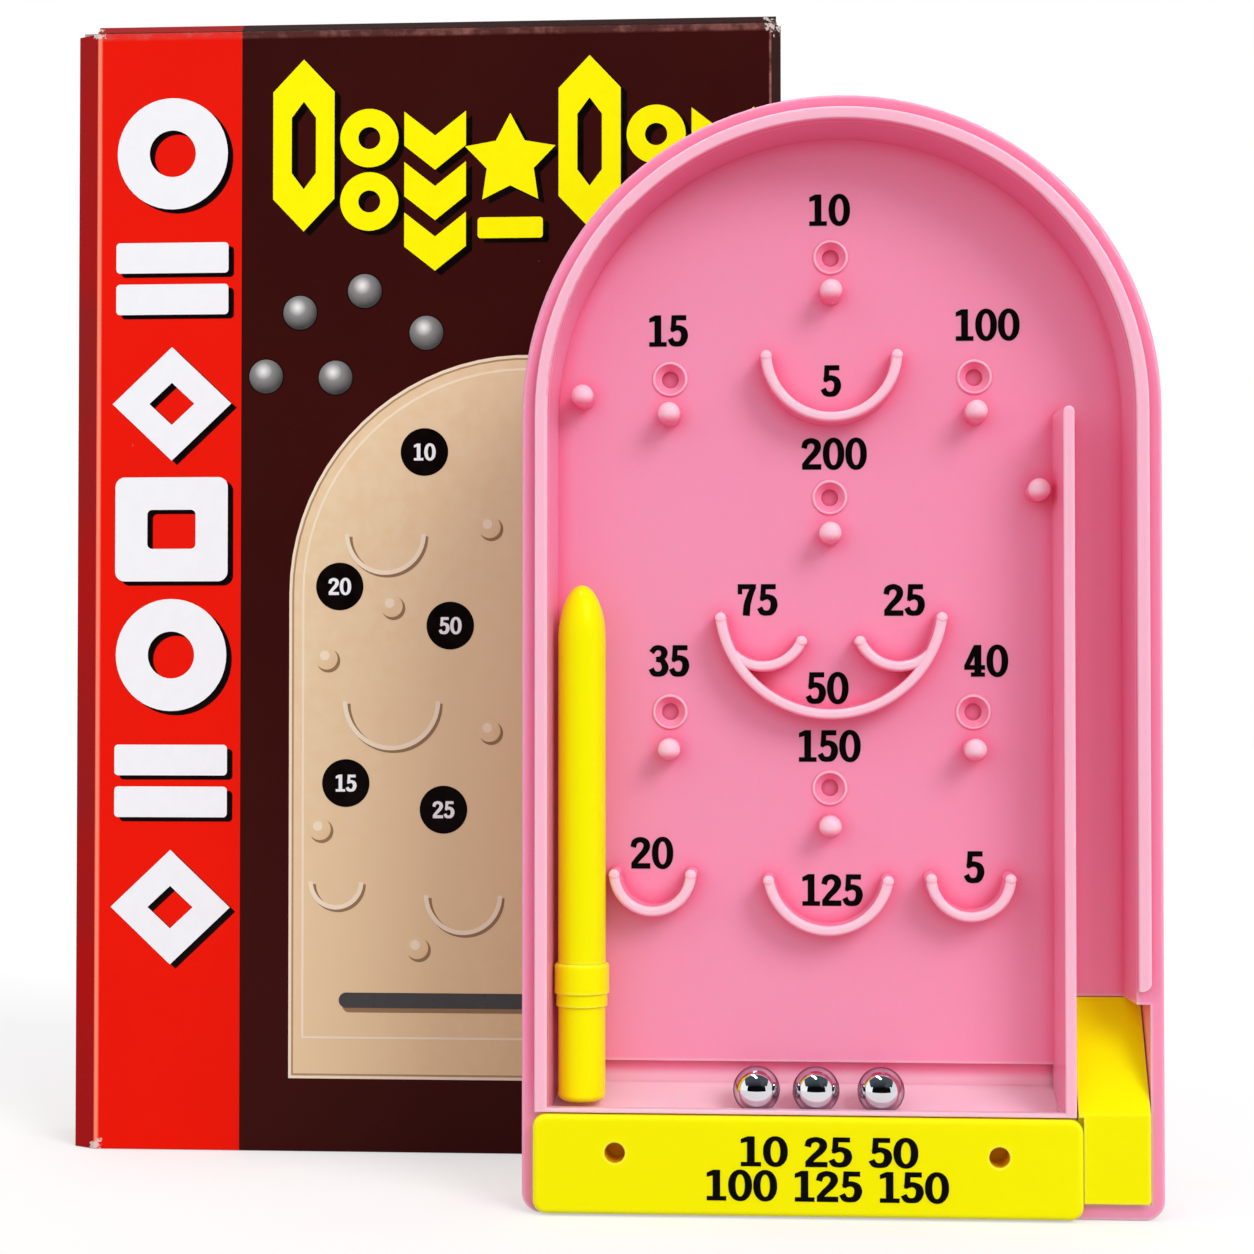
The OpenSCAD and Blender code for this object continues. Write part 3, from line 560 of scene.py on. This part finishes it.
# The field's scores: their middles in millimetres from the tray's middle line and its foot
SCORES = (
    ("10", -2.4, 273.9), ("15", -47.1, 240.7), ("100", 41.0, 241.6), ("5", -1.9, 226.4),
    ("200", -1.1, 206.2), ("75", -22.4, 165.8), ("25", 18.1, 165.7), ("35", -46.8, 148.9),
    ("40", 40.5, 148.9), ("50", -3.1, 141.4), ("150", -2.6, 125.4), ("20", -51.6, 95.7),
    ("125", -1.9, 85.7), ("5", 37.1, 92.2),
)
SCORE_H = 8.45 * MM
for i, (text, x, z) in enumerate(SCORES):
    digits(f"score_{i + 1:02d}_{text}", text, TRAY_X + x * MM, z * MM, FIELD_Y - INK_GAP,
           SCORE_H, "tray")

for name, text, x, z, height, wide in (("cover_row_upper", "10 25 50", -3.35, 17.9, 7.7, 1.22),
                                       ("cover_row_lower", "100 125 150", -3.85, 8.8, 7.9, 1.15)):
    digits(name, text, TRAY_X + x * MM, z * MM, COVER_FRONT - INK_GAP, height * MM,
           "cover", wide)


# ---------------------------------------------------------------- carton artwork: generic shapes
# All in millimetres, from the carton's middle line and its foot

def ring(cx, cz, r, n=48, a0=0.0, a1=360.0):
    """Points on a circle from a0 up to, but not including, a1, in degrees."""
    turns = [math.radians(a0 + (a1 - a0) * i / n) for i in range(n)]
    return [(cx + r * math.cos(t), cz + r * math.sin(t)) for t in turns]


def diamond(cx, cz, w, h):
    return [(cx - w / 2, cz), (cx, cz - h / 2), (cx + w / 2, cz), (cx, cz + h / 2)]


def soft_box(cx, cz, w, h, r, n=8):
    """A box with rounded corners."""
    out = []
    for qx, qz, start in ((1, 1, 0), (-1, 1, 90), (-1, -1, 180), (1, -1, 270)):
        for i in range(n + 1):
            t = math.radians(start + 90 * i / n)
            out.append((cx + qx * (w / 2 - r) + r * math.cos(t), cz + qz * (h / 2 - r) + r * math.sin(t)))
    return out


def bow(cx, cz, r, width, n=28):
    """A curved stroke along the lower half of a circle."""
    end = 360.0 + 180.0 / (n - 1)
    return ring(cx, cz, r, n, 180.0, end) + ring(cx, cz, r - width, n, 180.0, end)[::-1]


def star(cx, cz, r, points, depth):
    out = []
    for k in range(2 * points):
        reach = r * (1 if k % 2 == 0 else depth)
        out.append((cx + reach * math.sin(math.pi * k / points), cz + reach * math.cos(math.pi * k / points)))
    return out


def chevron(cx, cz, w, rise, thick):
    return [(cx - w / 2, cz), (cx, cz - rise), (cx + w / 2, cz), (cx + w / 2, cz + thick),
            (cx, cz + thick - rise), (cx - w / 2, cz + thick)]


def gem(cx, top, foot, w, cut):
    """An upright six-sided shape with pointed ends."""
    return [(cx, top), (cx + w / 2, top - cut), (cx + w / 2, foot + cut), (cx, foot),
            (cx - w / 2, foot + cut), (cx - w / 2, top - cut)]


def moved(loops, dx, dz):
    return [[(a + dx, b + dz) for a, b in loop] for loop in loops]


def art(name, loops, level, material):
    """One printed layer on the carton's front."""
    scaled = [[(CARTON_X + a * MM, b * MM) for a, b in loop] for loop in loops]
    printed_shape(name, scaled, CARTON_FRONT - INK_GAP - INK_LEVEL * level, material,
                  "carton")


def with_shadow(name, loops, material, dx, dz):
    """A shape over a dark copy of itself, moved by dx and dz."""
    art(name + "_shade", moved(loops, dx, dz), 0, SHADE_INK)
    art(name, loops, 1, material)


# White shapes down the red band
BAND_MID, BAND_TOP_MARK, BAND_STEP = -78.3, 305.5, 38.6
for i in range(7):
    z = BAND_TOP_MARK - i * BAND_STEP
    loops = (
        [ring(BAND_MID, z, 17.2), ring(BAND_MID, z, 7.2)],
        [soft_box(BAND_MID, z + 6.4, 35, 9.4, 1.2), soft_box(BAND_MID, z - 6.4, 35, 9.4, 1.2)],
        [diamond(BAND_MID, z, 37, 35), diamond(BAND_MID, z, 14, 13)],
        [soft_box(BAND_MID, z, 35, 32, 3), soft_box(BAND_MID, z, 15, 12, 1.5)],
    )[i % 4]
    with_shadow(f"band_mark_{i + 1}", loops, WHITE_INK, 1.7, -1.3)

# Yellow shapes across the top of the maroon field: each with its width and the gap after it
x = -47.0
for i, (kind, w, gap) in enumerate((("gem", 19, 1.8), ("discs", 18, 1.8), ("arrows", 19, 0.6),
                                    ("star", 26, 1.8), ("gem", 19, 1.8), ("discs", 18, 1.8),
                                    ("arrows", 19, 0.6))):
    mid = x + w / 2
    if kind == "gem":
        loops = [gem(mid, 334.0, 281.0, w, 10.0), gem(mid, 321.0, 294.0, w - 11.5, 5.0)]
    elif kind == "discs":
        loops = [ring(mid, 309.5, w / 2), ring(mid, 290.0, w / 2),
                 ring(mid, 309.5, 3.4, 28), ring(mid, 290.0, 3.4, 28)]
    elif kind == "arrows":
        loops = [chevron(mid, 276.0 + 15.5 * k, w, 7.5, 10.5) for k in range(3)]
    else:
        loops = [star(mid, 302.0, w / 2 + 1.6, 5, 0.52), soft_box(mid, 281.5, w - 6, 6.4, 1.0)]
    with_shadow(f"headline_{i + 1}", loops, YELLOW_INK, 1.9, -1.4)
    x += w + gap

# Printed balls on the maroon field
for i, (x, z) in enumerate(((-38.5, 256), (-18.5, 262.5), (-27.5, 236), (0.5, 249.5), (-49.0, 236.5))):
    art(f"ball_print_{i + 1}_edge", [ring(x, z, 5.5)], 0, SHADE_INK)
    art(f"ball_print_{i + 1}", [ring(x, z, 5.2)], 1, BALL_PRINT)

# Beige panel under an arch, with plain bows, dots and numbered discs
ARCH_X, ARCH_HALF, ARCH_FOOT, ARCH_TOP = 31.0, 72.6, 22.1, 242.5


def arch(inset, lift):
    """The panel's outline, inset at its sides and top, and with its foot lifted."""
    r = ARCH_HALF - inset
    foot = ARCH_FOOT + lift
    return [(ARCH_X - r, foot), (ARCH_X + r, foot)] + ring(ARCH_X, ARCH_TOP - ARCH_HALF, r, 40, 0, 184.6)


for level, (name, inset, lift, material) in enumerate((
        ("arch_edge", 0, 0, PALE_INK), ("arch_shade", 0.9, 0.9, TAN_INK), ("arch_rim", 1.5, 1.5, BEIGE_INK),
        ("arch_step", 4.0, 12.2, PALE_INK), ("arch_panel", 4.7, 12.9, BEIGE_INK))):
    art(name, [arch(inset, lift)], level, material)
for i, (x, z, text) in enumerate(((0, 213, "10"), (-26, 172, "20"), (8, 160, "50"), (-24, 112, "15"),
                                  (6, 104, "25"))):
    art(f"arch_disc_{i + 1}", [ring(x, z, 7.3)], 5, SHADE_INK)
    digits(f"arch_number_{i + 1}_{text}", text, CARTON_X + x * MM, z * MM,
           CARTON_FRONT - INK_GAP - INK_LEVEL * 6, 5.0 * MM, "carton", 1.0, WHITE_INK)
for i, (x, z, r) in enumerate(((-12, 188, 12.5), (-10, 137, 15), (-27, 82, 8.5), (12, 78, 12))):
    art(f"arch_bow_{i + 1}_shade", [bow(x + 0.7, z - 0.8, r, 1.7)], 5, SHADOW_INK)
    art(f"arch_bow_{i + 1}", [bow(x, z, r, 1.4)], 6, PALE_INK)
for i, (x, z) in enumerate(((-30, 150), (20, 190), (-10, 166), (-32, 98), (-2, 62), (20, 128))):
    art(f"arch_dot_{i + 1}_shade", [ring(x + 0.6, z - 0.7, 3.6, 28)], 5, SHADOW_INK)
    art(f"arch_dot_{i + 1}", [ring(x, z, 3.4, 28)], 6, BEIGE_INK)
    art(f"arch_dot_{i + 1}_top", [ring(x - 0.6, z + 0.9, 1.5, 20)], 7, PALE_INK)
art("arch_bar_shade", [soft_box(6, 44.6, 62, 4.6, 2.2)], 5, SHADOW_INK)
art("arch_bar", [soft_box(5, 46, 62, 4.6, 2.2)], 6, BAR_INK)

# ---------------------------------------------------------------- floor, light, camera


def stage(name, corners, material):
    """A flat piece of the studio, through four corners."""
    mesh = bpy.data.meshes.new(name)
    mesh.from_pydata(corners, [], [tuple(range(len(corners)))])
    mesh.materials.append(material)
    obj = add(bpy.data.objects.new(name, mesh))
    return obj


def looked_at(nodes, *kinds):
    """1 for rays of these kinds, and 0 for the others, which carry the light on the object."""
    path = nodes.node("ShaderNodeLightPath")
    found = path.outputs[f"Is {kinds[0]} Ray"]
    for kind in kinds[1:]:
        found = nodes.most(found, path.outputs[f"Is {kind} Ray"])
    return found


def floor_paper():
    """Pale paper that looks white and still takes the object's shadow."""
    material = bpy.data.materials.new("floor_paper")
    material.use_nodes = True
    n = Nodes(material.node_tree)
    out = n.node("ShaderNodeOutputMaterial")
    both = n.node("ShaderNodeAddShader")
    matt = n.node("ShaderNodeBsdfDiffuse")
    matt.inputs["Color"].default_value = (0.5, 0.5, 0.5, 1)
    lift = n.node("ShaderNodeEmission")
    n.link(n.times(looked_at(n, "Camera", "Glossy"), 0.49), lift.inputs["Strength"])
    n.link(matt.outputs[0], both.inputs[0])
    n.link(lift.outputs[0], both.inputs[1])
    n.link(both.outputs[0], out.inputs[0])
    return material


def card_cloth():
    """Dark cloth, a little lighter towards the top."""
    material = bpy.data.materials.new("card_cloth")
    material.use_nodes = True
    n = Nodes(material.node_tree)
    out = n.node("ShaderNodeOutputMaterial")
    cloth = n.node("ShaderNodeEmission")
    cloth.inputs["Strength"].default_value = 1.0
    place = n.node("ShaderNodeTexCoord").outputs["Object"]
    height = n.remap(n.axes(place)[2], 0.55, 1.15)
    n.link(n.mix(height, (0.004, 0.004, 0.005, 1), (0.085, 0.105, 0.12, 1)), cloth.inputs["Color"])
    n.link(cloth.outputs[0], out.inputs[0])
    return material


FLOOR_HALF, FLOOR_Z = 4, -0.0002
stage("floor", [(-FLOOR_HALF, -FLOOR_HALF, FLOOR_Z), (FLOOR_HALF, -FLOOR_HALF, FLOOR_Z),
                (FLOOR_HALF, FLOOR_HALF, FLOOR_Z), (-FLOOR_HALF, FLOOR_HALF, FLOOR_Z)], floor_paper())

# Cloths behind and above the camera, seen in reflections only, as for photographs of steel
cloth = card_cloth()
for name, corners in (
        ("studio_card", [(-1.1, -1.2, 0.0), (1.26, -1.2, 0.0), (1.26, -1.2, 1.3), (-1.1, -1.2, 1.3)]),
        ("studio_hood", [(-1.6, -1.2, 0.75), (1.76, -1.2, 0.75), (1.76, -0.15, 1.5), (-1.6, -0.15, 1.5)])):
    card = stage(name, corners, cloth)
    card.visible_camera = card.visible_diffuse = card.visible_shadow = card.visible_transmission = False

# A white studio, a little dimmer as a light on the object
world = bpy.data.worlds.new("studio")
bpy.context.scene.world = world
world.use_nodes = True
n = Nodes(world.node_tree)
out = n.node("ShaderNodeOutputWorld")
backdrop = n.node("ShaderNodeBackground")
backdrop.inputs["Color"].default_value = (1, 1, 1, 1)
looks = looked_at(n, "Camera", "Glossy", "Transmission")
n.link(n.remap(looks, 0.0, 1.0, 0.85, 1.0), backdrop.inputs["Strength"])
n.link(backdrop.outputs[0], out.inputs[0])


def lamp(name, kind, source, energy):
    """A lamp that shines from the direction given, and its object."""
    light = bpy.data.lights.new(name, kind)
    light.energy = energy
    obj = add(bpy.data.objects.new(name, light))
    obj.rotation_euler = Vector(source).to_track_quat("Z", "Y").to_euler()
    return light, obj


key, _ = lamp("key", "SUN", (0.52, -0.65, 0.58), 1.3)
key.angle = math.radians(28)
side, _ = lamp("side", "SUN", (-0.75, -0.55, 0.3), 0.3)
side.angle = math.radians(70)

# A strip light for highlights alone, as a glossy surface shows them
strip, strip_obj = lamp("strip", "AREA", (-0.2, -0.15, 0.9), 4.0)
strip.shape = "RECTANGLE"
strip.size, strip.size_y = 0.7, 0.12
strip_obj.location = (TRAY_X - 0.2, TRAY_BACK - 0.2, 1.1)
strip_obj.visible_camera = strip_obj.visible_diffuse = strip_obj.visible_transmission = False

# The camera, fitted to the photograph
cam = bpy.data.cameras.new("camera")
cam.lens = 69.16
cam.sensor_width = 36
cam.clip_start, cam.clip_end = 0.01, 50
cam_obj = add(bpy.data.objects.new("camera", cam))
cam_obj.location = (TRAY_X - 0.01602, TRAY_BACK - 0.67294, 0.14537)
cam_obj.rotation_mode = "QUATERNION"
cam_obj.rotation_quaternion = Vector((-0.06347, 0.99780, 0.01937)).to_track_quat("-Z", "Y")
bpy.context.scene.camera = cam_obj

bpy.context.scene.view_settings.view_transform = "Standard"
